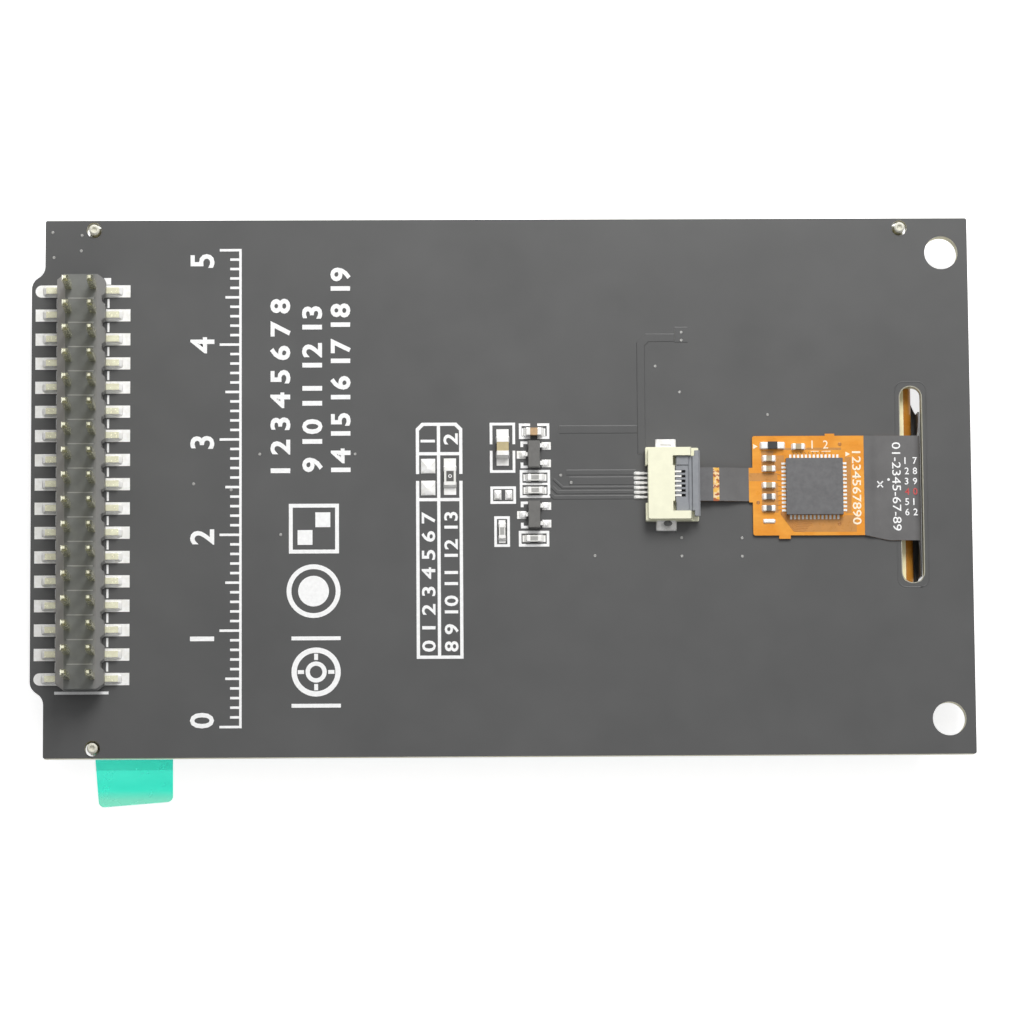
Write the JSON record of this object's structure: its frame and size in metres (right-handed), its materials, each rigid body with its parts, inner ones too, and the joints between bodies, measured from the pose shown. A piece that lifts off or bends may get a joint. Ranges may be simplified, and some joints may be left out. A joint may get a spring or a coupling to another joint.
{
  "type": "tft display module",
  "caption": "Small colour display module with a touch panel: black circuit board with a double-row pin header, cable socket with locking lever and folded touch cable.",
  "frame": {"origin": "middle of the circuit board, on the outer face of the protective film, which is the viewing face that the module lies on", "axes": "+X along the board from the pin header to the mounting holes, +Y across it towards the header's first pins, +Z from the display towards the parts side"},
  "size_m": [0.098, 0.0611, 0.0147],
  "materials": {
    "clear_film": "clear glossy film",
    "green_film": "glossy turquoise film",
    "cover_glass": "clear polished glass",
    "border_ink": "black printed ink",
    "clear_adhesive": "clear adhesive",
    "sensor_glass": "clear glass with a faint green edge",
    "foam_tape": "fine matt foam",
    "polarizer": "dark glossy polarizer film",
    "cell_glass": "dark glass",
    "silicon": "ground silicon",
    "black_tape": "matt black tape",
    "diffuser_film": "milky film",
    "guide_plastic": "clear moulded plastic",
    "reflector_film": "white reflective film",
    "frame_plastic": "white moulded plastic, satin",
    "flex_amber": "amber polyimide over copper",
    "solder": "bright reflowed solder",
    "lamp_resin": "pale yellow resin",
    "white_foam": "white double-sided foam tape",
    "board_mask": "satin black solder mask on glass-fibre board",
    "white_ink": "white printed ink",
    "header_plastic": "black moulded plastic, fine matt",
    "pin_metal": "pale gold plating",
    "socket_plastic": "ivory moulded plastic",
    "contact_metal": "tinned spring metal",
    "lever_plastic": "grey moulded plastic",
    "cable_film": "satin black film",
    "tail_plastic": "grey stiffener",
    "plate_plastic": "brown polyimide plate",
    "chip_resin": "fine grained moulding compound",
    "ceramic_tan": "tan ceramic",
    "ceramic_orange": "orange-tan ceramic",
    "diode_resin": "black moulding",
    "alumina": "white alumina",
    "resistor_coat": "black glass coat"
  },
  "bodies": {
    "module": {"protective_film": "clear_film", "film_pull_tab": "green_film", "cover_glass": "cover_glass", "border_print": "border_ink", "optical_adhesive": "clear_adhesive", "touch_sensor": "sensor_glass", "gasket_tape": "foam_tape", "front_polarizer": "polarizer", "filter_glass": "cell_glass", "array_glass": "cell_glass", "display_driver_chip": "silicon", "rear_polarizer": "polarizer", "rim_tape": "black_tape", "brightness_films": "diffuser_film", "light_guide": "guide_plastic", "reflector_film": "reflector_film", "backlight_frame": "frame_plastic", "lamp_strip": "flex_amber", "backlight_lamps": "lamp_resin", "display_flex": "flex_amber", "display_flex_joints": "solder", "mounting_strips": "white_foam", "circuit_board": "board_mask", "board_pads": "solder", "board_print": "white_ink", "scale_print": "white_ink", "header_housing": "header_plastic", "header_pins_outer": "pin_metal", "header_pins_inner": "pin_metal", "connector_housing": "socket_plastic", "connector_contacts": "contact_metal", "connector_tabs": "contact_metal", "touch_flex": "flex_amber", "flex_cover_film": "cable_film", "flex_backing_film": "cable_film", "tail_stiffener": "tail_plastic", "field_plate": "plate_plastic", "touch_controller": "chip_resin", "controller_leads": "solder", "flex_diode": "diode_resin", "flex_capacitors": "ceramic_tan", "flex_resistors": "resistor_coat", "flex_part_ends": "solder", "supply_capacitor": "ceramic_tan", "bypass_capacitor": "ceramic_orange", "capacitor_ends": "solder", "transistors": "chip_resin", "transistor_leads": "solder", "resistor_bodies": "alumina", "resistor_coats": "resistor_coat", "resistor_ends": "solder"},
    "lever": {"connector_lever": "lever_plastic"}
  },
  "joints": [
    {"name": "lever_hinge", "type": "hinge", "parent": "module", "child": "lever", "pos_m": [0.01845, 0, 0.00695], "axis": [0, -1, 0], "range_deg": [0, 90]}
  ]
}
